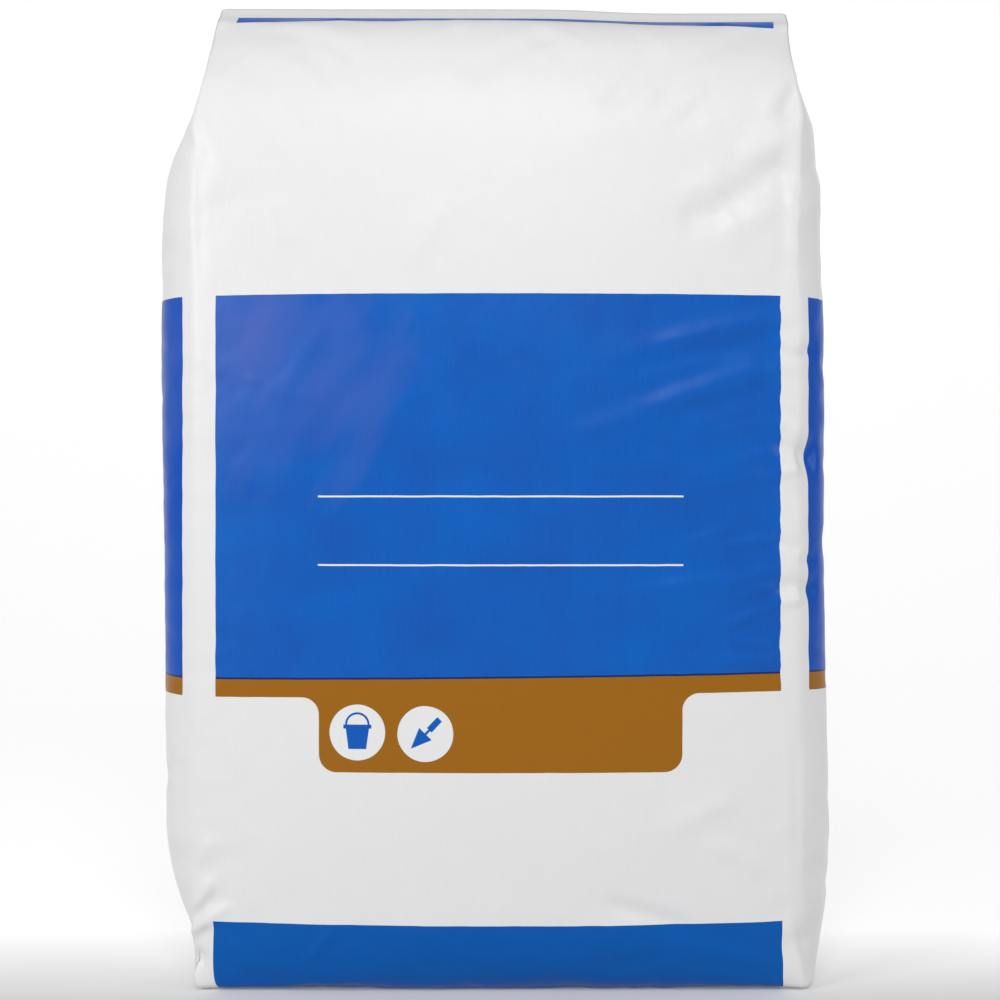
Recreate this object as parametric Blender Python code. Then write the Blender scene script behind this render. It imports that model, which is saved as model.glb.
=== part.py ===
"""A full 25 kg cement bag, standing upright on its folded bottom.

The sack is one piece of heavy plastic film: a tube with a gusset down each side, heat-sealed
across both ends and filled tight with cement powder. Front and back panels are joined by side
gussets, which stand out along the body on both sides of their middle crease and tuck inwards at
both ends. The top seal stands up as a thin fin that leans back and hangs lower at its right end.
Film and powder are one solid here, because the film is only 0.15 mm thick.

Metres, +Z up, front panel facing -Y, origin on the floor under the middle of the bag.
"""

import math

import bpy

# Flat film, as the maker of the bag would order it
PANEL_WIDTH = 0.340
GUSSET_WIDTH = 0.120
FIN_LENGTH = 0.012
FIN_THICKNESS = 0.0010

# Filled bag
SEAL_HEIGHT = 0.5590
FOLD_DEPTH = 0.102
PANEL_BULGE = 0.016
CROWN_POWER = 2.4
FIN_LEAN_DEG = 51.0

# Heights between which the body keeps one depth
BODY_FROM = 0.150
BODY_TO = 0.360

# The left part of the sealed top stands a little higher, and the right part hangs a little lower
TOP_RISE = 0.0014
TOP_DROP = 0.0026
DROP_FROM = 0.058
DROP_SOFTNESS = 0.012
LEVEL_UP_TO = 0.470

# Facets
PANEL_SPANS = 20
HALF_GUSSET_SPANS = 8

# Cross-sections, close together where the bag turns under and over
FOOT_TOP = 0.070
HEAD_FROM = 0.440
FOOT_ROWS = 9
BODY_ROWS = 8
HEAD_ROWS = 15

FILM_COLOUR = (0.83, 0.83, 0.83, 1.0)
FILM_ROUGHNESS = 0.38

SHARP_ANGLE_DEG = 35.0

HALF_PANEL = PANEL_WIDTH / 2
HALF_GUSSET = GUSSET_WIDTH / 2
HALF_FOLD = FOLD_DEPTH / 2
HALF_BELLY = HALF_FOLD + PANEL_BULGE

# A shallow arc rises by the root of this, times its chord, times how much longer it is than the chord
ARC_FACTOR = 3 / 8
# Share of the fold depth that each bowed half may take up where the gusset is tucked in
TUCKED_ROOM = 0.22

LEFT = -1
RIGHT = 1


def curve_through(stations):
    """A smooth curve through (height, value) stations that never overshoots between two of them."""
    heights = [height for height, _ in stations]
    values = [value for _, value in stations]
    gaps = [b - a for a, b in zip(heights, heights[1:])]
    rises = [(b - a) / gap for a, b, gap in zip(values, values[1:], gaps)]
    slopes = [rises[0]]
    for before, after in zip(rises, rises[1:]):
        slopes.append(2 * before * after / (before + after) if before * after > 0 else 0.0)
    slopes.append(rises[-1])

    def value_at(height):
        height = min(max(height, heights[0]), heights[-1])
        i = next((k for k, top in enumerate(heights[1:]) if height <= top), len(gaps) - 1)
        t = (height - heights[i]) / gaps[i]
        start, end = values[i], values[i + 1]
        lift = t * t * (3 - 2 * t)
        leave = t * (1 - t) * (1 - t) * gaps[i] * slopes[i]
        arrive = t * t * (t - 1) * gaps[i] * slopes[i + 1]
        return start + (end - start) * lift + leave + arrive

    return value_at


# Half the bag's depth at the middle of a panel: rounded foot, belly, then a flat top that rises to the seal
belly_half_depth = curve_through([
    (0.0000, 0.0500),
    (0.0030, 0.0560),
    (0.0105, 0.0595),
    (0.0300, 0.0622),
    (0.0600, 0.0645),
    (0.0900, 0.0660),
    (BODY_FROM, HALF_BELLY),
    (BODY_TO, HALF_BELLY),
    (0.4150, 0.0655),
    (0.4560, 0.0628),
    (0.4900, 0.0590),
    (0.5130, 0.0545),
    (0.5310, 0.0490),
    (0.5425, 0.0400),
    (0.5492, 0.0270),
    (0.5535, 0.0105),
    (SEAL_HEIGHT, FIN_THICKNESS / 2),
])

# Half the depth between the two fold lines of one side: upright, then leaning in at 45 degrees to the seal
fold_half_depth = curve_through([
    (0.0000, 0.0440),
    (0.0028, 0.0490),
    (0.0105, 0.0500),
    (0.0300, 0.0504),
    (0.0600, HALF_FOLD),
    (0.4550, HALF_FOLD),
    (0.4880, 0.0503),
    (0.5090, 0.0450),
    (0.5245, 0.0355),
    (0.5370, 0.0240),
    (0.5480, 0.0130),
    (0.5560, 0.0050),
    (SEAL_HEIGHT, FIN_THICKNESS / 2),
])

# Stations up each side: height, how far the fold lines stand from the bag's middle, how far past them the
# gusset's middle crease stands (with a minus, how far it is tucked in), and the share of the gusset's
# spare width that bows out between each fold line and the crease
SIDE_STATIONS = {
    LEFT: [
        (0.0000, 0.1690, -0.0380, 0.30),
        (0.0030, 0.1700, -0.0330, 0.30),
        (0.0105, 0.1710, -0.0240, 0.30),
        (0.0300, 0.1708, -0.0050, 0.12),
        (0.0460, 0.1707, 0.0100, 0.36),
        (0.0600, 0.1705, 0.0140, 0.60),
        (0.0900, HALF_PANEL, 0.0170, 0.93),
        (0.1500, HALF_PANEL, 0.0180, 0.95),
        (0.2500, HALF_PANEL, 0.0202, 0.97),
        (0.3600, HALF_PANEL, 0.0246, 1.00),
        (0.4150, HALF_PANEL, 0.0232, 1.00),
        (0.4550, 0.1710, 0.0207, 0.85),
        (0.4700, 0.1715, 0.0180, 0.62),
        (0.4880, 0.1720, 0.0100, 0.25),
        (0.5090, 0.1698, -0.0170, 0.15),
        (0.5245, 0.1685, -0.0285, 0.20),
        (0.5370, 0.1682, -0.0400, 0.30),
        (0.5480, 0.1687, -0.0500, 0.30),
        (SEAL_HEIGHT, 0.1686, -0.0595, 0.30),
    ],
    RIGHT: [
        (0.0000, 0.1750, 0.0022, 0.33),
        (0.0030, 0.1748, 0.0055, 0.35),
        (0.0105, 0.1732, 0.0085, 0.45),
        (0.0300, 0.1710, 0.0168, 0.60),
        (0.0460, 0.1705, 0.0200, 0.80),
        (0.0600, HALF_PANEL, 0.0215, 0.90),
        (0.0900, HALF_PANEL, 0.0222, 1.00),
        (0.1500, HALF_PANEL, 0.0187, 0.97),
        (0.2500, HALF_PANEL, 0.0168, 0.88),
        (0.3600, HALF_PANEL, 0.0165, 0.90),
        (0.4150, HALF_PANEL, 0.0142, 0.80),
        (0.4550, HALF_PANEL, 0.0130, 0.75),
        (0.4700, HALF_PANEL, 0.0125, 0.55),
        (0.4880, HALF_PANEL, 0.0130, 0.35),
        (0.5090, 0.1699, -0.0070, 0.25),
        (0.5245, 0.1683, -0.0260, 0.20),
        (0.5370, 0.1677, -0.0400, 0.30),
        (0.5480, 0.1678, -0.0500, 0.30),
        (SEAL_HEIGHT, 0.1690, -0.0595, 0.30),
    ],
}


def side_curve(column):
    """The curve of one column of the side stations, for the left and for the right side."""
    return {
        side: curve_through([(station[0], station[column]) for station in stations])
        for side, stations in SIDE_STATIONS.items()
    }


fold_out = side_curve(1)
crease_out = side_curve(2)
bow_share = side_curve(3)

# The sealed top sits a little to the right of the foot
sideways_shift = curve_through([
    (0.000, 0.0000),
    (0.430, 0.0000),
    (0.500, 0.0022),
    (0.530, 0.0028),
    (SEAL_HEIGHT, 0.0045),
])


def top_hang(x, height):
    """How much the film at the sealed top stands above its even height, or hangs below it."""
    near_top = max(0.0, (height - LEVEL_UP_TO) / (SEAL_HEIGHT - LEVEL_UP_TO)) ** 2
    on_right = 1 / (1 + math.exp((DROP_FROM - x) / DROP_SOFTNESS))
    return near_top * (TOP_RISE - TOP_DROP * on_right)


def placed(x, y, height):
    """The point of the standing bag for a place in a level cross-section."""
    return (x + sideways_shift(height), y, height + top_hang(x, height))


def panel_point(across, facing, height):
    """A point of the front (facing -1) or back (+1) panel; across runs from -1 to 1, fold to fold."""
    fold = fold_half_depth(height)
    crown = 1 - abs(across) ** CROWN_POWER
    depth = fold + (belly_half_depth(height) - fold) * crown
    side = LEFT if across < 0 else RIGHT
    return placed(across * fold_out[side](height), facing * depth, height)


def gusset_point(along, side, height):
    """A point of the left (side -1) or right (+1) gusset; along runs from -1, front fold, to 1, back fold."""
    fold = fold_half_depth(height)
    crease = crease_out[side](height)
    chord = math.hypot(fold, crease)
    spare = max(HALF_GUSSET - chord, 0.0)
    rise = bow_share[side](height) * math.sqrt(ARC_FACTOR * chord * spare)
    if crease < 0:
        rise = min(rise, TUCKED_ROOM * fold * chord / -crease)
    inward = 1 - abs(along)
    bow = 4 * rise * inward * (1 - inward)
    out = fold_out[side](height) + crease * inward + bow * fold / chord
    depth = fold * (1 - inward) + bow * crease / chord
    return placed(side * out, math.copysign(depth, along), height)


def section(height):
    """One closed cross-section, counter-clockwise from above, starting at the left front fold."""
    front = [panel_point(2 * i / PANEL_SPANS - 1, -1, height) for i in range(PANEL_SPANS)]
    spans = 2 * HALF_GUSSET_SPANS
    right = [gusset_point(2 * i / spans - 1, 1, height) for i in range(spans)]
    back = [panel_point(1 - 2 * i / PANEL_SPANS, 1, height) for i in range(PANEL_SPANS)]
    left = [gusset_point(1 - 2 * i / spans, -1, height) for i in range(spans)]
    return front + right + back + left


def fin_section(length):
    """The cross-section of the heat-sealed fin, this far along its length from the seal line."""
    lean = math.radians(FIN_LEAN_DEG)
    back = length * math.sin(lean)
    up = length * math.cos(lean)
    ring = []
    for i, (x, y, z) in enumerate(section(SEAL_HEIGHT)):
        side = RIGHT if i < PANEL_SPANS + 2 * HALF_GUSSET_SPANS else LEFT
        if abs(y) < FIN_THICKNESS / 2 - 1e-9:
            x, _, z = placed(side * fold_out[side](SEAL_HEIGHT), y, SEAL_HEIGHT)
        ring.append((x, y + back, z + up))
    return ring


def row_heights():
    """Heights of the cross-sections."""
    body_span = HEAD_FROM - FOOT_TOP
    head_span = SEAL_HEIGHT - HEAD_FROM
    foot = [FOOT_TOP * (i / FOOT_ROWS) ** 2 for i in range(FOOT_ROWS)]
    body = [FOOT_TOP + body_span * i / BODY_ROWS for i in range(BODY_ROWS)]
    head = [HEAD_FROM + head_span * math.sin(math.pi / 2 * i / HEAD_ROWS) for i in range(HEAD_ROWS)]
    return foot + body + head


def sack_mesh():
    """The closed surface: stacked cross-sections, flat underneath, ending in the thin fin."""
    rings = [section(height) for height in row_heights()]
    rings += [fin_section(0.0), fin_section(FIN_LENGTH)]
    count = len(rings[0])
    widths = [x for ring in rings for x, _, _ in ring]
    middle = (min(widths) + max(widths)) / 2
    points = [(x - middle, y, z) for ring in rings for x, y, z in ring]
    faces = [tuple(reversed(range(count)))]
    for row in range(len(rings) - 1):
        for i in range(count):
            j = (i + 1) % count
            low, high = row * count, (row + 1) * count
            faces.append((low + i, low + j, high + j, high + i))
    last = (len(rings) - 1) * count
    faces.append(tuple(range(last, last + count)))
    mesh = bpy.data.meshes.new("film_sack")
    mesh.from_pydata(points, [], faces)
    mesh.validate()
    return mesh


def film_material():
    """White heavy-duty polyethylene film with a satin gloss."""
    material = bpy.data.materials.new("white_film")
    material.use_nodes = True
    shader = material.node_tree.nodes["Principled BSDF"]
    shader.inputs["Base Color"].default_value = FILM_COLOUR
    shader.inputs["Roughness"].default_value = FILM_ROUGHNESS
    shader.inputs["Metallic"].default_value = 0.0
    return material


def main():
    for old in list(bpy.data.objects):
        bpy.data.objects.remove(old)
    mesh = sack_mesh()
    mesh.materials.append(film_material())
    sack = bpy.data.objects.new("film_sack", mesh)
    bpy.context.scene.collection.objects.link(sack)
    mesh.shade_smooth()
    mesh.set_sharp_from_angle(angle=math.radians(SHARP_ANGLE_DEG))


main()
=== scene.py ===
"""A full 25 kg bag of cement in printed plastic film, standing on its folded foot."""

import math

import bmesh
import bpy
import numpy as np
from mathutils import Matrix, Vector


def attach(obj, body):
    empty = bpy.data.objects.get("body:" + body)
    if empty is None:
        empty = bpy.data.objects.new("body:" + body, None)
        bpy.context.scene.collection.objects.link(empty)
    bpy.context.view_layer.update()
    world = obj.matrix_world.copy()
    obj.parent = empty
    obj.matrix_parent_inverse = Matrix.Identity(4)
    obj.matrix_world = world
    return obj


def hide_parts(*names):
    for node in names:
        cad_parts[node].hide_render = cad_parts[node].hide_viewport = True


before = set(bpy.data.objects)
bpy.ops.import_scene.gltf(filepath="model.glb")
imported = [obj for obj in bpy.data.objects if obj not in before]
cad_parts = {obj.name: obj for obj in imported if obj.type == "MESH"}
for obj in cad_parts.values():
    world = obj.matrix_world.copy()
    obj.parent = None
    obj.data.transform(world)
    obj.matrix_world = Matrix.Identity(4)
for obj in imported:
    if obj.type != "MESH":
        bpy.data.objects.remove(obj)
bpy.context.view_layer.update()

# The film sack
# One piece of white polyethylene film, a tube with a gusset folded into each side, heat-sealed
# across both ends. The powder inside presses it outwards; the top seal stands up as a thin fin.

PANEL = 0.340
GUSSET = 0.120
GIRTH = 2 * (PANEL + GUSSET)
PITCH = 0.005
FIN = 0.012
SEAL_HEIGHT = 0.5590
FIN_LEAN = math.radians(51)

# Ribs of the filled sack, from the foot's seam up to the top seal: depth and height at a panel's
# middle, depth and height at its folds
RIBS = np.array([
    (0.0003, 0.0006, 0.0003, 0.0006),
    (0.0420, 0.0004, 0.0380, 0.0004),
    (0.0515, 0.0006, 0.0470, 0.0006),
    (0.0562, 0.0018, 0.0492, 0.0016),
    (0.0594, 0.0085, 0.0501, 0.0085),
    (0.0622, 0.0300, 0.0504, 0.0300),
    (0.0635, 0.0460, 0.0508, 0.0460),
    (0.0645, 0.0600, 0.0510, 0.0600),
    (0.0660, 0.0900, 0.0510, 0.0900),
    (0.0670, 0.1500, 0.0510, 0.1500),
    (0.0670, 0.2500, 0.0510, 0.2500),
    (0.0668, 0.3600, 0.0510, 0.3600),
    (0.0655, 0.4150, 0.0510, 0.4150),
    (0.0628, 0.4560, 0.0510, 0.4550),
    (0.0612, 0.4720, 0.0508, 0.4700),
    (0.0590, 0.4900, 0.0503, 0.4880),
    (0.0545, 0.5130, 0.0450, 0.5090),
    (0.0490, 0.5310, 0.0355, 0.5245),
    (0.0400, 0.5425, 0.0240, 0.5370),
    (0.0270, 0.5492, 0.0130, 0.5480),
    (0.0105, 0.5535, 0.0075, 0.5560),
    (0.0005, SEAL_HEIGHT, 0.0005, SEAL_HEIGHT),
])

# For the same ribs, left and right in turn: how far the folds stand out, how far past the folds the
# middle of the gusset stands, and the share of the gusset's spare width that bows out between the two
SIDES = np.array([
    (0.1660, 0.1720, -0.0600, -0.0500, 0.30, 0.30),
    (0.1675, 0.1745, -0.0420, -0.0060, 0.30, 0.30),
    (0.1685, 0.1750, -0.0380, 0.0022, 0.30, 0.33),
    (0.1700, 0.1748, -0.0330, 0.0055, 0.30, 0.35),
    (0.1710, 0.1732, -0.0240, 0.0085, 0.30, 0.45),
    (0.1708, 0.1710, -0.0050, 0.0168, 0.12, 0.60),
    (0.1707, 0.1705, 0.0100, 0.0200, 0.36, 0.80),
    (0.1705, 0.1700, 0.0140, 0.0215, 0.60, 0.90),
    (0.1700, 0.1700, 0.0170, 0.0222, 0.93, 1.00),
    (0.1700, 0.1700, 0.0180, 0.0187, 0.95, 0.97),
    (0.1700, 0.1700, 0.0202, 0.0168, 0.97, 0.88),
    (0.1700, 0.1700, 0.0246, 0.0165, 1.00, 0.90),
    (0.1700, 0.1700, 0.0232, 0.0142, 1.00, 0.80),
    (0.1710, 0.1700, 0.0207, 0.0130, 0.85, 0.75),
    (0.1715, 0.1700, 0.0180, 0.0125, 0.62, 0.55),
    (0.1720, 0.1700, 0.0100, 0.0130, 0.25, 0.35),
    (0.1698, 0.1699, -0.0170, -0.0070, 0.15, 0.25),
    (0.1685, 0.1683, -0.0285, -0.0260, 0.20, 0.20),
    (0.1682, 0.1677, -0.0400, -0.0400, 0.30, 0.30),
    (0.1687, 0.1678, -0.0500, -0.0500, 0.30, 0.30),
    (0.1684, 0.1682, -0.0565, -0.0565, 0.30, 0.30),
    (0.1686, 0.1690, -0.0595, -0.0595, 0.30, 0.30),
])

# How square the panels' crown is, the depth of a shallow arc against its spare length, and how much
# of a fold's depth one half of a gusset may take up where it is tucked in
CROWN_POWER = 2.4
ARC_FACTOR = 0.375
TUCKED_ROOM = 0.22
LEAST_TUCK = 0.05

# The right half of the sealed top hangs lower than the left half
LEFT_TOP_RISE = 0.0014
RIGHT_TOP_DROP = 0.0026
LEVEL_UP_TO = 0.47
DROP_FROM = 0.058
DROP_SOFTNESS = 0.012

# The sealed top sits a little to the right of the foot
SHIFT_HEIGHTS = (0.0, 0.430, 0.500, 0.530, SEAL_HEIGHT, 1.0)
SHIFTS = (0.0, 0.0, 0.0022, 0.0028, 0.0045, 0.0045)


def along_ribs(values, places, wanted):
    """Values at the wanted places, on smooth curves through the ribs that never overshoot."""
    gap = np.diff(places)[:, None]
    rise = np.diff(values, axis=0) / gap
    before = rise[:-1]
    after = rise[1:]
    same_way = before * after > 0
    total = np.where(same_way, before + after, 1.0)
    slope = np.vstack([rise[:1], np.where(same_way, 2 * before * after / total, 0.0), rise[-1:]])
    k = np.clip(np.searchsorted(places, wanted) - 1, 0, len(gap) - 1)
    t = ((wanted - places[k]) / gap[k, 0])[:, None]
    lift = t * t * (3 - 2 * t)
    leave = t * (1 - t) ** 2 * gap[k] * slope[k]
    arrive = t * t * (t - 1) * gap[k] * slope[k + 1]
    return values[k] + (values[k + 1] - values[k]) * lift + leave + arrive


# A rib's place along the film is the length of film up to it, halfway between fold and middle
middle_steps = np.hypot(np.diff(RIBS[:, 0]), np.diff(RIBS[:, 1]))
fold_steps = np.hypot(np.diff(RIBS[:, 2]), np.diff(RIBS[:, 3]))
rib_places = np.concatenate([[0.0], np.cumsum((middle_steps + fold_steps) / 2)])
BODY_LENGTH = float(rib_places[-1])
FILM_LENGTH = BODY_LENGTH + FIN

columns = round(GIRTH / PITCH)
rows = round(FILM_LENGTH / PITCH)

bpy.ops.object.select_all(action="DESELECT")
bpy.ops.mesh.primitive_grid_add(x_subdivisions=columns, y_subdivisions=rows, size=1)
sack = bpy.context.object
sack.name = "film_sack_printed"
blank = np.array([vertex.co[:2] for vertex in sack.data.vertices])
around = blank[:, 0] * GIRTH
along = (blank[:, 1] + 0.5) * FILM_LENGTH


def filled_shape(around, along):
    """Where points of the flat film lie on the filled sack."""
    body = np.minimum(along, BODY_LENGTH)
    rib = along_ribs(np.hstack([RIBS, SIDES]), rib_places, body)
    middle_depth, middle_height, fold_depth, fold_height = rib[:, :4].T
    right = around > 0
    spread = np.where(right, rib[:, 5], rib[:, 4])
    crease = np.where(right, rib[:, 7], rib[:, 6])
    bow_share = np.where(right, rib[:, 9], rib[:, 8])
    girth_place = np.abs(around)
    in_front = girth_place <= PANEL / 2
    at_back = girth_place >= PANEL / 2 + GUSSET
    side = np.where(right, 1.0, -1.0)

    across = np.where(in_front, girth_place, GIRTH / 2 - girth_place) / (PANEL / 2)
    across = np.clip(across, 0, 1)
    crown = 1 - across ** CROWN_POWER
    panel_x = across * spread
    panel_y = fold_depth + (middle_depth - fold_depth) * crown
    panel_z = fold_height + (middle_height - fold_height) * crown

    half = (girth_place - PANEL / 2) / (GUSSET / 2) - 1
    inward = 1 - np.abs(half)
    inward = np.clip(inward, 0, 1)
    chord = np.hypot(fold_depth, crease)
    slack = np.clip(GUSSET / 2 - chord, 0.0, None)
    sag = bow_share * np.sqrt(ARC_FACTOR * chord * slack)
    tuck = np.where(crease < 0, -crease / chord, 0.0)
    room = np.where(tuck > LEAST_TUCK, TUCKED_ROOM * fold_depth / np.clip(tuck, LEAST_TUCK, None), 1.0)
    sag = np.minimum(sag, room)
    bow = 4 * sag * inward * (1 - inward)
    gusset_x = spread + crease * inward + bow * fold_depth / chord
    gusset_y = fold_depth * (1 - inward) + bow * crease / chord

    in_panel = in_front | at_back
    x = side * np.where(in_panel, panel_x, gusset_x)
    depth = np.where(in_panel, panel_y, gusset_y)
    z = np.where(in_panel, panel_z, fold_height)
    facing = np.where(in_front, -1.0, np.where(at_back, 1.0, np.where(half < 0, -1.0, 1.0)))
    y = facing * depth
    shift = np.interp(z, SHIFT_HEIGHTS, SHIFTS)
    fin = np.clip(along - BODY_LENGTH, 0, None)
    near_top = np.clip((z - LEVEL_UP_TO) / (SEAL_HEIGHT - LEVEL_UP_TO), 0, 1) ** 2
    to_right = 1 / (1 + np.exp((DROP_FROM - x) / DROP_SOFTNESS))
    z = z + near_top * (LEFT_TOP_RISE - RIGHT_TOP_DROP * to_right)
    return np.stack([x + shift, y + fin * math.sin(FIN_LEAN), z + fin * math.cos(FIN_LEAN)], axis=1)


def set_places(thing, places):
    thing.data.vertices.foreach_set("co", np.asarray(places, dtype=np.float32).ravel())
    thing.data.update()


for name, values in (("around", around), ("along", along)):
    sack.data.attributes.new(name, "FLOAT", "POINT").data.foreach_set("value", values)
set_places(sack, filled_shape(around, along))

# Join the tube along the middle of the back
bpy.ops.object.mode_set(mode="EDIT")
bpy.ops.mesh.select_all(action="DESELECT")
bpy.ops.object.mode_set(mode="OBJECT")
for vertex, place in zip(sack.data.vertices, around):
    vertex.select = bool(abs(place) > GIRTH / 2 - PITCH / 2)
bpy.ops.object.mode_set(mode="EDIT")
bpy.ops.mesh.remove_doubles(threshold=0.0001)
bpy.ops.object.mode_set(mode="OBJECT")


def film_places(thing):
    """Each point's place on the flat film: how far round the tube, and how far along it."""
    found = []
    for name in ("around", "along"):
        values = np.empty(len(thing.data.vertices), dtype=np.float32)
        thing.data.attributes[name].data.foreach_get("value", values)
        found.append(values.astype(float))
    return found


around, along = film_places(sack)
filled = filled_shape(around, along)

# Cloth simulation of the film. Its flat shape is the tube it was made as, with spare length rippled
# in where the filled sack shows wrinkles. It is held fast at its seals, firmly at its folds and
# lightly everywhere else. Ranges are from, to and how soft the ends are; widths are half widths.
PANEL_HOLD = 0.03
FOLD_HOLD = 0.20
CRIMPED_FOLD_HOLD = 0.05
FOLD_WIDTH = 0.006
HELD_FOLD_HEIGHTS = (0.02, 0.50, 0.01)
CRIMPED_WIDTH = 0.012
CRIMPED_HEIGHTS = (0.18, 0.42, 0.012)
FOOT_SEAL = 0.012
TOP_SEAL = 0.004

SPARE = 0.0003
SHOULDER_SPARE = 0.0009
SHOULDER_HEIGHTS = (0.475, 0.553, 0.008)
CRIMP_SPARE = 0.0013
CRIMP_PLACE = 0.160
CRIMP_WIDTH = 0.035
CRIMP_HEIGHTS = (0.19, 0.42, 0.012)
FOOT_SPARE = 0.0005
FOOT_HEIGHTS = (-1, 0.045, 0.008)
FOOT_SIDES = (0.10, 0.36, 0.01)

START_JITTER = 0.0001
FRAMES = 12
CAP = 0.010
DRIFT_LENGTH = 0.030
CLOTH = {
    "quality": 3,
    "mass": 0.001,
    "air_damping": 2,
    "tension_stiffness": 30,
    "compression_stiffness": 30,
    "shear_stiffness": 15,
    "bending_stiffness": 0.2,
    "tension_damping": 5,
    "compression_damping": 5,
    "shear_damping": 5,
    "bending_damping": 0.5,
    "use_pressure": True,
    "uniform_pressure_force": 2.0,
    "vertex_group_mass": "held",
    "pin_stiffness": 1,
}


def near(value, centre, width):
    """1 at the centre, falling off smoothly to 0 over about twice the width."""
    return np.exp(-((value - centre) / width) ** 2)


def between(value, low, high, soft):
    """1 between low and high, 0 outside, with soft edges."""
    return 1 / (1 + np.exp((low - value) / soft)) / (1 + np.exp((value - high) / soft))


height = filled[:, 2]
front_folds = near(np.abs(around), PANEL / 2, FOLD_WIDTH)
folds = front_folds + near(np.abs(around), PANEL / 2 + GUSSET, FOLD_WIDTH)
crimped = near(around, PANEL / 2, CRIMPED_WIDTH) * between(height, *CRIMPED_HEIGHTS)
hold = PANEL_HOLD + (FOLD_HOLD - PANEL_HOLD) * folds * between(height, *HELD_FOLD_HEIGHTS)
hold -= (FOLD_HOLD - CRIMPED_FOLD_HOLD) * crimped
hold[(along < FOOT_SEAL) | (along > BODY_LENGTH - TOP_SEAL)] = 1.0

spare = SPARE + SHOULDER_SPARE * between(height, *SHOULDER_HEIGHTS)
spare += CRIMP_SPARE * near(around, CRIMP_PLACE, CRIMP_WIDTH) * between(height, *CRIMP_HEIGHTS)
spare += FOOT_SPARE * between(height, *FOOT_HEIGHTS) * between(np.abs(around), *FOOT_SIDES)
row_number = np.round(along / (FILM_LENGTH / rows)).astype(int)
column_number = np.round(around / PITCH).astype(int) % columns
tube_radius = GIRTH / (2 * math.pi)
turn = around / tube_radius
rippled_radius = tube_radius + spare * np.where(row_number % 2 == 0, 1, -1)
flat_tube = np.stack([rippled_radius * np.sin(turn), -rippled_radius * np.cos(turn), along], axis=1)

rng = np.random.default_rng(11)
start = filled + rng.normal(0, START_JITTER, filled.shape) * (hold < 1)[:, None]
set_places(sack, start)
sack.shape_key_add(name="filled")
flat_key = sack.shape_key_add(name="flat")
flat_key.data.foreach_set("co", flat_tube.astype(np.float32).ravel())
flat_key.value = 0
held = sack.vertex_groups.new(name="held")
for index, weight in enumerate(hold):
    held.add([index], min(max(weight, 0.0), 1.0), "REPLACE")
cloth = sack.modifiers.new("cloth", "CLOTH")
for name, value in CLOTH.items():
    setattr(cloth.settings, name, value)
cloth.settings.effector_weights.gravity = 0
cloth.settings.rest_shape_key = flat_key
cloth.collision_settings.use_collision = False
cloth.collision_settings.use_self_collision = False
cloth.point_cache.frame_start = 1
cloth.point_cache.frame_end = FRAMES
for number in range(1, FRAMES + 1):
    bpy.context.scene.frame_set(number)
settled = sack.evaluated_get(bpy.context.evaluated_depsgraph_get())
places = np.empty(len(around) * 3, dtype=np.float32)
settled.data.vertices.foreach_get("co", places)
moved = places.reshape(-1, 3).astype(float) - filled
sack.modifiers.remove(cloth)
sack.shape_key_clear()
sack.vertex_groups.clear()
bpy.context.scene.frame_set(1)

# The slow drift along each strip of film is taken off again, which leaves the wrinkles
moved_film = np.zeros((rows + 1, columns, 3))
moved_film[row_number, column_number] = moved
row_places = np.arange(rows + 1) * FILM_LENGTH / rows
blend = near(row_places[:, None], row_places[None, :], DRIFT_LENGTH)
drift = np.tensordot(blend / blend.sum(axis=1, keepdims=True), moved_film, axes=1)
moved -= drift[row_number, column_number]
far = np.linalg.norm(moved, axis=1)
moved *= (np.minimum(far, CAP) / np.maximum(far, 1e-9))[:, None]
moved[hold >= 1] = 0
set_places(sack, filled + moved)


def close_end(bm, places, end, at):
    """Closes one end of the tube with faces between its pressed layers."""
    ring = {round(places[0][v.index] / PITCH): v for v in bm.verts if abs(places[1][v.index] - at) < 1e-5}
    turns = round(GIRTH / PITCH)
    wrap = {k % turns: v for k, v in ring.items()}
    uv = bm.loops.layers.uv.active

    def face(*steps):
        made = bm.faces.new([wrap[k % turns] for k in steps])
        made.smooth = True
        for loop, k in zip(made.loops, steps):
            loop[uv].uv = (k / turns + 0.5, end)

    fold = round(PANEL / 2 / PITCH)
    half = round(GUSSET / 2 / PITCH)
    whole = turns // 2
    for sign in (1, -1):
        inner = sign * (fold + 2 * half)
        for corner in (sign * fold, inner):
            face(corner, corner - 1, corner + 1)
            for j in range(1, half):
                face(corner - j, corner - j - 1, corner + j + 1, corner + j)
        face(sign * (fold - half), sign * (fold + half), sign * (whole - fold + half))
    for k in range(-(fold - half), fold - half):
        face(k, k + 1, whole - k - 1, whole - k)


bm = bmesh.new()
bm.from_mesh(sack.data)
bm.verts.ensure_lookup_table()
close_end(bm, (around, along), 0.0, 0.0)
close_end(bm, (around, along), 1.0, FILM_LENGTH)
bmesh.ops.recalc_face_normals(bm, faces=bm.faces)
bm.to_mesh(sack.data)
bm.free()

finer = sack.modifiers.new("finer", "SUBSURF")
finer.levels = 1
finer.render_levels = 1
bpy.context.view_layer.objects.active = sack
bpy.ops.object.modifier_apply(modifier="finer")

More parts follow.
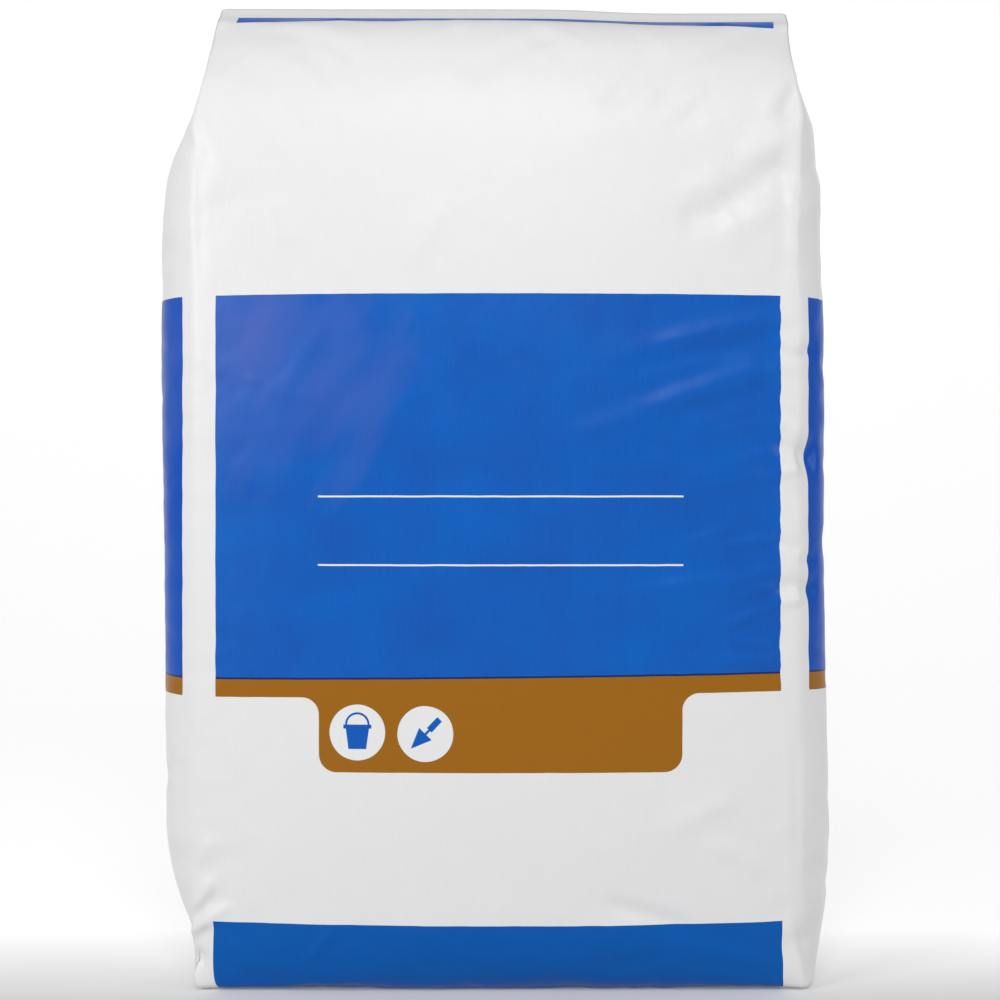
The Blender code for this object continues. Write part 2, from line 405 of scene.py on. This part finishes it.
# Folds, creases and dents that filling and handling left in the film, in millimetres: place round the
# tube and height of the two ends, width, and how far the film stands out, or with a minus is pressed in
CREASES = (
    (163, 484, 136, 466, 8, 1.3),
    (128, 458, 104, 448, 7, 1.0),
    (164, 467, 140, 452, 10, -3.4),
    (142, 453, 128, 440, 9, -3.0),
    (131, 438, 103, 433, 8, -2.6),
    (158, 444, 126, 428, 8, 1.2),
    (161, 488, 161, 394, 3.5, -1.0),
    (168, 472, 168, 398, 3, 0.6),
    (159, 492, 171, 520, 6, -3.4),
    (150, 497, 163, 523, 6, 0.9),
    (156, 368, 174, 362, 2.6, 1.2),
    (156, 360, 174, 355, 2.6, -0.9),
    (156, 323, 174, 313, 3, 1.3),
    (156, 308, 176, 301, 4, -1.8),
    (156, 291, 174, 295, 3, 1.0),
    (156, 228, 176, 229, 4, -1.7),
    (156, 219, 174, 221, 2.6, 1.4),
    (156, 252, 174, 250, 3, -0.8),
    (31, 543, -20, 506, 7, -1.1),
    (93, 532, 58, 494, 6, -1.2),
    (108, 522, 87, 497, 5, -1.1),
    (150, 530, 99, 486, 6, -1.1),
    (-166, 515, -166, 400, 2.2, -0.8),
    (-124, 447, -117, 418, 7, 0.9),
    (-28, 442, -49, 406, 6, 0.8),
    (58, 53, 110, 38, 5, -1.6),
    (137, 113, 92, 91, 7, 1.0),
    (118, 86, 152, 70, 6, 0.9),
    (98, 31, 152, 17, 5, 1.1),
    (60, 14, 98, 24, 5, -0.8),
    (169, 150, 169, 52, 2.2, -0.9),
    (169, 52, 177, 6, 2.2, -0.9),
    (166, 381, 88, 362, 6, 1.7),
    (166, 371, 96, 354, 5, -0.8),
    (110, 366, 56, 352, 8, 0.5),
    (122, 357, 78, 342, 5, 0.6),
    (163, 355, 84, 327, 7, 2.0),
    (163, 344, 100, 322, 5, -0.8),
    (104, 331, 40, 310, 8, 0.9),
    (150, 290, 98, 284, 9, 0.8),
    (160, 320, 122, 313, 2.6, 0.9),
    (160, 304, 134, 299, 2.6, 0.9),
    (160, 289, 136, 287, 2.6, 0.8),
    (140, 264, 100, 249, 4, 0.9),
    (158, 255, 122, 250, 2.4, 1.5),
    (140, 235, 90, 227, 3.5, 1.0),
    (110, 230, 50, 222, 5, 0.7),
    (158, 239, 122, 225, 2.4, 1.5),
    (159, 229, 128, 222, 2.2, 1.1),
    (156, 217, 126, 205, 2.4, 1.2),
    (154, 195, 126, 198, 2.2, 1.1),
    (155, 186, 122, 187, 2.8, 1.1),
    (105, 186, 50, 189, 9, 0.8),
    (170, 300, 186, 300, 9, -3.6),
    (172, 361, 186, 361, 3, -1.3),
    (172, 243, 186, 243, 3, -1.3),
    (172, 226, 186, 226, 5, -2.2),
    (200, 253, 235, 253, 6, -2.0),
    (-90, 382, -122, 330, 6, 0.6),
    (-128, 338, -100, 333, 3, 0.4),
    (-140, 345, -118, 340, 2.5, 0.5),
    (-170, 46, -158, 64, 2.6, 2.2),
    (-171, 40, -156, 55, 2.6, -1.6),
    (-173, 33, -157, 43, 2.6, 2.0),
    (-172, 27, -156, 37, 2.6, -1.2),
    (-158, 43, -147, 50, 2.4, 1.3),
    (-176, 16, -163, 22, 6, -4.0),
    (-163, 40, -163, 2, 4, -1.6),
    (-168, 72, -158, 88, 2.4, 0.9),
    (-147, 32, -139, 14, 2.4, 1.5),
    (-131, 15, -115, 15, 2.4, 1.0),
    (-90, 38, -106, 17, 2.4, 1.4),
    (-97, 555, -97, 546, 9, 1.0),
    (45, 555, 45, 546, 8, 0.9),
    (126, 555, 126, 546, 9, 1.0),
)

# A crease is at its full height over its middle half and fades towards its ends, as shares of its
# length. Nothing goes below the lowest height that keeps the foot on the floor.
FULL_SHARE = 0.25
FADE_SHARE = 0.22
ON_FLOOR = 0.0004


def film_place(height):
    """How far along the film a height on the front of the standing bag lies."""
    return float(np.interp(height, RIBS[:, 1], rib_places))


def places_from_map(thing):
    """Place round the tube and along it of every point, read from the film's map."""
    loops = len(thing.data.loops)
    corner_uvs = np.empty(loops * 2, dtype=np.float32)
    thing.data.uv_layers.active.data.foreach_get("uv", corner_uvs)
    corner_points = np.empty(loops, dtype=np.int32)
    thing.data.loops.foreach_get("vertex_index", corner_points)
    film = np.zeros((len(thing.data.vertices), 2))
    film[corner_points] = corner_uvs.reshape(-1, 2)
    return (film[:, 0] - 0.5) * GIRTH, film[:, 1] * FILM_LENGTH


around, along = places_from_map(sack)
count = len(sack.data.vertices)
places = np.empty(count * 3, dtype=np.float32)
sack.data.vertices.foreach_get("co", places)
places = places.reshape(-1, 3).astype(float)
normals = np.empty(count * 3, dtype=np.float32)
sack.data.vertices.foreach_get("normal", normals)
normals = normals.reshape(-1, 3)
stand_out = np.zeros(count)
for from_around, from_height, to_around, to_height, width, stand in CREASES:
    run = np.array([to_around - from_around, to_height - from_height]) / 1000
    length = np.hypot(*run)
    offset = np.stack([around - from_around / 1000, along - film_place(from_height / 1000)], axis=1)
    share = offset @ run / length ** 2
    beside = (offset @ np.array([-run[1], run[0]])) / length
    fade = near(np.clip(np.abs(share - 0.5) - FULL_SHARE, 0, None), 0, FADE_SHARE)
    stand_out += stand / 1000 * fade * near(beside, 0, width / 1000)
places += normals * stand_out[:, None]
places[:, 2] = np.maximum(places[:, 2], ON_FLOOR)
set_places(sack, places)
for name in ("around", "along"):
    sack.data.attributes.remove(sack.data.attributes[name])


class Field:
    """A value that changes over a surface. Arithmetic on it adds Math nodes to its material."""

    def __init__(self, socket):
        self.socket = socket

    def node(self, kind, settings, inputs, output=0):
        """Adds any other node, from its type, its settings and the values or links of its sockets."""
        tree = self.socket.id_data
        made = tree.nodes.new(kind)
        for name, setting in settings.items():
            setattr(made, name, setting)
        for name, value in inputs.items():
            if isinstance(value, Field):
                tree.links.new(value.socket, made.inputs[name])
            else:
                made.inputs[name].default_value = value
        return Field(made.outputs[output])

    def math(self, operation, *others):
        return self.node("ShaderNodeMath", {"operation": operation}, dict(enumerate((self, *others))))

    def __add__(self, other):
        return self.math("ADD", other)

    __radd__ = __add__

    def __sub__(self, other):
        return self.math("SUBTRACT", other)

    def __rsub__(self, other):
        return self * -1 + other

    def __mul__(self, other):
        return self.math("MULTIPLY", other)

    __rmul__ = __mul__

    def __lt__(self, other):
        return self.math("LESS_THAN", other)

    def __gt__(self, other):
        return self.math("GREATER_THAN", other)

    def __abs__(self):
        return self.math("ABSOLUTE")

    def at_least(self, other):
        return self.math("MAXIMUM", other)

    def at_most(self, other):
        return self.math("MINIMUM", other)

    def away_from(self, x, other, y):
        """Distance from a point, where this value is the first coordinate and other is the second."""
        return ((self - x) * (self - x) + (other - y) * (other - y)).math("SQRT")

    def wave(self, length):
        return (self * (2 * math.pi / length)).math("SINE")

    def noise(self, size, detail=2.0, roughness=0.5):
        """Noise of about this size, from -1 to 1, where this value is a vector of coordinates."""
        settings = {"noise_dimensions": "3D"}
        inputs = {"Vector": self, "Scale": 1 / size, "Detail": detail, "Roughness": roughness}
        return self.node("ShaderNodeTexNoise", settings, inputs) * 2 - 1

    def part(self, number):
        """One coordinate of a vector, counted from 0."""
        return self.node("ShaderNodeSeparateXYZ", {}, {0: self}, number)

    def ramp(self, low, high):
        """0 up to the low value, 1 from the high value on, and even in between."""
        return self.node("ShaderNodeMapRange", {}, {0: self, 1: low, 2: high, 3: 0.0, 4: 1.0})

    def mixed(self, colour, other):
        """The first colour where this value is 0, the other one where it is 1."""
        settings = {"data_type": "RGBA"}
        return self.node("ShaderNodeMix", settings, {0: self, 6: colour, 7: other}, 2)

    def vector(self, y, z):
        return self.node("ShaderNodeCombineXYZ", {}, {0: self, 1: y, 2: z})


# The print, in places round the tube and along it. It repeats every panel and gusset, so the back
# carries the same blocks of colour as the front. The lettering's places are bare.
REPEAT = PANEL + GUSSET
BLOCK = 0.1583
BLOCK_SHIFT = 0.0013
EDGE_RIPPLES = 75
EDGE_WAVE = 0.0013
GUSSET_STRIPE = 0.1780
BLUE_TOP = film_place(0.391)
BLUE_FOOT = film_place(0.1777)
BLUE_FOOT_TILT = 0.010
NAVY_LINE = 0.0011
OCHRE_FOOT = film_place(0.1679)
TAB = 0.101
TAB_FOOT = film_place(0.1254)
TAB_CORNER = 0.010
TAB_SHOULDER = 0.0095
OVERLAP = 0.001
LABEL_SHIFT = 0.0028
RULE = 0.1015
RULE_HALF = 0.0005
UPPER_RULE = film_place(0.2785)
LOWER_RULE = film_place(0.2404)
FOOT_BAND = film_place(0.0405)
FOOT_BLOCK = 0.1590
FOOT_SHIFT = 0.0015
FOOT_EDGE_SLANT = 0.07
HEAD_BAND = (BODY_LENGTH - 0.0205, BODY_LENGTH - 0.0016)
HEAD_CURVE = 0.19
HEAD_CURVE_LEFT = 0.12
HEAD_RIPPLES = 26
HEAD_WAVE = 0.0022

WHITE_FILM = (0.685, 0.685, 0.687, 1)
DULL_WHITE_FILM = (0.665, 0.665, 0.665, 1)
BLUE_INK = (0.0016, 0.100, 0.44, 1)
DEEP_BLUE_INK = (0.0060, 0.070, 0.36, 1)
# The gussets' blue is darker as painted shade where they turn away from the light
SHADED_GUSSET_INK = (0.002, 0.070, 0.40, 1)
# The foot band's blue is darker as painted shade where the foot curves under
SHADED_FOOT_INK = (0.0, 0.084, 0.355, 1)
NAVY_INK = (0.004, 0.02, 0.10, 1)
OCHRE_INK = (0.285, 0.110, 0.005, 1)
# A violet painted highlight: the blue ink's gloss sheen painted into its colour
PAINTED_SHEEN_INK = (0.050, 0.105, 0.410, 1)

film = bpy.data.materials.new("printed_film")
film.use_nodes = True
sack.data.materials.append(film)
surface = film.node_tree.nodes["Principled BSDF"]
film_map = Field(film.node_tree.nodes.new("ShaderNodeUVMap").outputs[0])
place = Field(film.node_tree.nodes.new("ShaderNodeTexCoord").outputs["Object"])
round_place = (film_map.part(0) - 0.5) * GIRTH
along_place = film_map.part(1) * FILM_LENGTH
panel_place = round_place.math("WRAP", REPEAT / 2, -REPEAT / 2)
aside = abs(panel_place)

# The large blue block, the ochre band under it and the tab that hangs from the band
level_share = ((REPEAT / 2 - aside) * (2 / GUSSET)).at_most(1.0)
above_foot = along_place - (panel_place * level_share * BLUE_FOOT_TILT + BLUE_FOOT)
block_place = panel_place - BLOCK_SHIFT
edge_wave = (along_place * EDGE_RIPPLES).vector(0.0, 0.0).noise(1.0) * EDGE_WAVE * (block_place > 0)
block = (abs(block_place) + edge_wave) < BLOCK
striped = block.at_least(aside > GUSSET_STRIPE)
blue = striped * (along_place < BLUE_TOP) * (above_foot > 0)
below_band = above_foot * -1 - (BLUE_FOOT - OCHRE_FOOT)
band = striped * (above_foot < 0) * (below_band < 0)
from_label = abs(panel_place - LABEL_SHIFT)
over_corner = (from_label - (TAB - TAB_CORNER)).at_least(0)
under_corner = ((TAB_FOOT + TAB_CORNER) - along_place).at_least(0)
tab = (over_corner.away_from(0, under_corner, 0) < TAB_CORNER) * (above_foot < 0)
hollow = (from_label - TAB).away_from(TAB_SHOULDER, below_band, TAB_SHOULDER) > TAB_SHOULDER
shoulder = (from_label < TAB + TAB_SHOULDER) * (from_label > TAB - OVERLAP)
shoulder = shoulder * (below_band < TAB_SHOULDER) * (below_band > -OVERLAP)
ochre = band.at_least(tab).at_least(shoulder * hollow)
navy = striped * (above_foot > 0) * (above_foot < NAVY_LINE)

# Two white rules on the blue block, the blue band along the foot and the thin one under the seal
on_rule = (abs(along_place - UPPER_RULE) < RULE_HALF).at_least(abs(along_place - LOWER_RULE) < RULE_HALF)
rules = (from_label < RULE) * on_rule
foot_slant = (panel_place > 0) * FOOT_EDGE_SLANT * (along_place - FOOT_BAND)
foot_band = (abs(panel_place - FOOT_SHIFT) < foot_slant + FOOT_BLOCK) * (along_place < FOOT_BAND)
head_wave = (round_place * HEAD_RIPPLES).vector(0.0, 0.0).noise(1.0) * HEAD_WAVE
head_curve = (block_place < 0) * HEAD_CURVE_LEFT + HEAD_CURVE
head_foot = block_place * block_place * head_curve + head_wave + HEAD_BAND[0]
head_band = (abs(block_place) < BLOCK) * (along_place > head_foot) * (along_place < HEAD_BAND[1])

# A white disc with a bucket: a tapering pail, its rim and its round handle
DISC = 0.0155
BUCKET_DISC = (-0.0767, film_place(0.1476))
PAIL_TOP = 0.0022
PAIL_FOOT = -0.0092
PAIL_HALF = 0.0062
PAIL_TAPER = 0.14
RIM_PLACE = 0.0033
RIM_HALF = 0.0078
RIM_THICK = 0.0011
HANDLE_PLACE = 0.0044
HANDLE_RADIUS = 0.0062
HANDLE_THICK = 0.0006
bucket_x = panel_place - BUCKET_DISC[0]
bucket_y = along_place - BUCKET_DISC[1]
bucket_disc = bucket_x.away_from(0, bucket_y, 0) < DISC
pail = (abs(bucket_x) < bucket_y * PAIL_TAPER + PAIL_HALF) * (bucket_y < PAIL_TOP) * (bucket_y > PAIL_FOOT)
rim = (abs(bucket_x) < RIM_HALF) * (abs(bucket_y - RIM_PLACE) < RIM_THICK)
from_ring = abs(bucket_x.away_from(0, bucket_y, HANDLE_PLACE) - HANDLE_RADIUS)
handle = (from_ring < HANDLE_THICK) * (bucket_y > HANDLE_PLACE)
bucket = pail.at_least(rim).at_least(handle)

# A white disc with a trowel that points down to the left: a pointed blade, its neck and its grip
TROWEL_DISC = (-0.0389, film_place(0.1470))
BLADE_POINT = 0.0115
BLADE_SPREAD = 0.42
NECK_PLACE = 0.0015
NECK_REACH = 0.0020
NECK_HALF = 0.0007
GRIP_PLACE = 0.0072
GRIP_REACH = 0.0042
GRIP_HALF = 0.0018
trowel_x = panel_place - TROWEL_DISC[0]
trowel_y = along_place - TROWEL_DISC[1]
trowel_disc = trowel_x.away_from(0, trowel_y, 0) < DISC
lean = math.sqrt(0.5)
blade_side = abs(trowel_x * lean - trowel_y * lean)
blade_along = trowel_x * lean + trowel_y * lean
blade = (blade_side < (blade_along + BLADE_POINT) * BLADE_SPREAD) * (blade_along < 0.0)
neck = (blade_side < NECK_HALF) * (abs(blade_along - NECK_PLACE) < NECK_REACH)
grip = (blade_side < GRIP_HALF) * (abs(blade_along - GRIP_PLACE) < GRIP_REACH)
trowel = blade.at_least(neck).at_least(grip)

# Uneven ink: streaks and grain drawn out along the film, given as their numbers per metre round the
# tube and along it, slow drifts of tone, and a painted sheen at the upper left: a violet painted highlight
# of the ink's gloss
STREAKS = (60, 6)
GRAIN = (800, 60)
CLOUD_SIZE = 0.05
DRIFT_SIZE = 0.060
DRIFT_STRETCH = 1.6
STREAK_SHARE = 0.3
GRAIN_SHARE = 0.3
CLOUD_SHARE = 0.3
DRIFT_SHARE = 0.7
DEEP_INK_SHARE = 0.35
DULL_FILM_SHARE = 0.4
PAINTED_SHEEN_PATCH = (-0.130, film_place(0.362))
PAINTED_SHEEN_FALL = -10
PAINTED_SHEEN_LEVEL = 0.85
PAINTED_SHEEN_SIZE = 0.030
PAINTED_SHEEN_SHARE = 0.8
PAINTED_SHEEN_SLANT = 0.5
streaks = (round_place * STREAKS[0]).vector(along_place * STREAKS[1], 0.0).noise(1.0, 3.0)
cloudy = place.noise(CLOUD_SIZE, 3.0)
grain = (round_place * GRAIN[0]).vector(along_place * GRAIN[1], 0.0).noise(1.0, 1.0)
drifts = round_place.vector(along_place * DRIFT_STRETCH, 0.0).noise(DRIFT_SIZE, 2.0)
depth = streaks * STREAK_SHARE + grain * GRAIN_SHARE + drifts * DRIFT_SHARE + DEEP_INK_SHARE
ink = depth.mixed(BLUE_INK, DEEP_BLUE_INK)
# The gussets' stripes take a darker blue: painted shade where the gussets turn away from the light
ink = (aside > GUSSET_STRIPE).mixed(ink, SHADED_GUSSET_INK)
# The printed band along the foot takes a darker blue, which is painted shade where the foot curves under
ink = foot_band.mixed(ink, SHADED_FOOT_INK)
# The violet patch at the upper left is painted sheen, a painted highlight of the blue ink's gloss
sheen_patch_place = (round_place - along_place * PAINTED_SHEEN_SLANT).vector(along_place * PAINTED_SHEEN_SLANT, 0.0)
from_patch = round_place.away_from(PAINTED_SHEEN_PATCH[0], along_place, PAINTED_SHEEN_PATCH[1])
painted_sheen = from_patch * PAINTED_SHEEN_FALL + sheen_patch_place.noise(PAINTED_SHEEN_SIZE, 2.0) * PAINTED_SHEEN_SHARE + PAINTED_SHEEN_LEVEL
ink = painted_sheen.at_least(0.0).at_most(1.0).mixed(ink, PAINTED_SHEEN_INK)
colour = (cloudy * CLOUD_SHARE + grain * GRAIN_SHARE + DULL_FILM_SHARE).mixed(WHITE_FILM, DULL_WHITE_FILM)
colour = blue.at_least(foot_band).at_least(head_band).mixed(colour, ink)
colour = ochre.mixed(colour, OCHRE_INK)
colour = navy.mixed(colour, NAVY_INK)
colour = rules.at_least(bucket_disc).at_least(trowel_disc).mixed(colour, WHITE_FILM)
colour = (bucket_disc * bucket).at_least(trowel_disc * trowel).mixed(colour, ink)

# Fine ribs from extruding run along the film, with small crinkles and soft swells between them
RIB_PITCH = 0.0014
RIB_RELIEF = 0.000010
RIB_CHANGE = 0.000007
CRINKLE_SIZE = 0.006
CRINKLE_RELIEF = 0.000035
SWELL_SIZE = 0.030
SWELL_RELIEF = 0.00015
SHEEN = 0.31
SHEEN_CHANGE = 0.05
GLOSS = 0.16
GLOSS_TINT = (0.9, 0.92, 1.0, 1)
crinkle = place.noise(CRINKLE_SIZE, 2.0)
swell = place.noise(SWELL_SIZE, 1.0)
ribs = round_place.wave(RIB_PITCH) * (streaks * RIB_CHANGE + RIB_RELIEF)
relief = ribs + crinkle * CRINKLE_RELIEF + swell * SWELL_RELIEF
bump = relief.node("ShaderNodeBump", {}, {"Height": relief, "Distance": 1.0, "Strength": 1.0})
sheen = cloudy * SHEEN_CHANGE + SHEEN

tree = film.node_tree
tree.links.new(colour.socket, surface.inputs["Base Color"])
tree.links.new(sheen.socket, surface.inputs["Roughness"])
tree.links.new(bump.socket, surface.inputs["Normal"])
surface.inputs["Specular IOR Level"].default_value = GLOSS
surface.inputs["Specular Tint"].default_value = GLOSS_TINT

sack.data.shade_smooth()
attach(sack, "root")
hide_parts("film_sack")

# Studio
# A floor of pale paper that sweeps up behind the bag and glows under and behind it, a softbox high in
# front and one on each side, and a camera straight in front at about half the bag's height.

FLOOR_SIZE = 6.0
WALL_Y = 2.4
WALL_HEIGHT = 1.6
SWEEP = 0.9
SWEEP_STEPS = 24
PAPER = (0.66, 0.66, 0.66, 1)
PAPER_ROUGHNESS = 0.9
BLACK = (0, 0, 0, 1)
WHITE = (1, 1, 1, 1)
GLOW = 0.5
GLOW_FROM = -0.09
GLOW_FULL = 0.10
ROOM_LIGHT = 0.42


def select_edges(thing, height, y):
    """Goes to edit mode with only the edges selected that lie at this height and this y."""
    bpy.ops.object.mode_set(mode="EDIT")
    bpy.ops.mesh.select_mode(type="EDGE")
    bpy.ops.mesh.select_all(action="DESELECT")
    bpy.ops.object.mode_set(mode="OBJECT")
    points = thing.data.vertices
    for edge in thing.data.edges:
        ends = [points[index].co for index in edge.vertices]
        edge.select = all(abs(end.y - y) + abs(end.z - height) < 1e-4 for end in ends)
    bpy.ops.object.mode_set(mode="EDIT")


bpy.ops.object.select_all(action="DESELECT")
bpy.ops.mesh.primitive_plane_add(size=FLOOR_SIZE, location=(0, WALL_Y - FLOOR_SIZE / 2, 0))
floor = bpy.context.object
floor.name = "studio_sweep"
bpy.ops.object.transform_apply(location=True)
select_edges(floor, 0.0, WALL_Y)
bpy.ops.mesh.extrude_edges_move(TRANSFORM_OT_translate={"value": (0, 0, WALL_HEIGHT)})
select_edges(floor, 0.0, WALL_Y)
bpy.ops.mesh.bevel(offset=SWEEP, segments=SWEEP_STEPS, profile=0.5, affect="EDGES")
bpy.ops.object.mode_set(mode="OBJECT")
floor.data.shade_smooth()
paper = bpy.data.materials.new("studio_paper")
paper.use_nodes = True
sheet = paper.node_tree.nodes["Principled BSDF"]
floor_place = Field(paper.node_tree.nodes.new("ShaderNodeTexCoord").outputs["Object"])
glow = floor_place.part(1).ramp(GLOW_FROM, GLOW_FULL).mixed(BLACK, WHITE)
paper.node_tree.links.new(glow.socket, sheet.inputs["Emission Color"])
sheet.inputs["Emission Strength"].default_value = GLOW
sheet.inputs["Base Color"].default_value = PAPER
sheet.inputs["Roughness"].default_value = PAPER_ROUGHNESS
floor.data.materials.append(paper)

world = bpy.data.worlds.new("studio")
bpy.context.scene.world = world
world.use_nodes = True
world.node_tree.nodes["Background"].inputs["Color"].default_value = WHITE
world.node_tree.nodes["Background"].inputs["Strength"].default_value = ROOM_LIGHT

# Place, size and watts of each soft light, all turned to the same point above the bag's foot
LIGHTS = (
    ("front_softbox", (0.0, -1.9, 1.5), 1.0, 20.5),
    ("left_softbox", (-1.6, -1.5, 0.8), 0.7, 18),
    ("right_softbox", (1.8, -1.0, 0.7), 0.8, 8.5),
)
AIM = Vector((0, 0, 0.3))
for name, spot, size, watts in LIGHTS:
    bpy.ops.object.light_add(type="AREA", location=spot)
    light = bpy.context.object
    light.name = name
    light.data.size = size
    light.data.energy = watts
    towards = AIM - Vector(spot)
    light.rotation_euler = towards.to_track_quat("-Z", "Y").to_euler()

# The photograph is 1000 pixels wide, and 1698 of its pixels would make a metre at the middle of the
# bag's depth
PIXELS_PER_METRE = 1698.0
IMAGE_WIDTH = 1000
CAMERA_DISTANCE = 1.1
CAMERA_X = 0.0024
CAMERA_HEIGHT = 0.2765
SENSOR = 36
camera_data = bpy.data.cameras.new("camera")
camera = bpy.data.objects.new("camera", camera_data)
bpy.context.scene.collection.objects.link(camera)
camera.location = (CAMERA_X, -CAMERA_DISTANCE, CAMERA_HEIGHT)
camera.rotation_euler = (math.radians(90), 0, 0)
camera_data.sensor_width = SENSOR
camera_data.lens = SENSOR * PIXELS_PER_METRE * CAMERA_DISTANCE / IMAGE_WIDTH
bpy.context.scene.camera = camera
bpy.context.scene.view_settings.view_transform = "Standard"
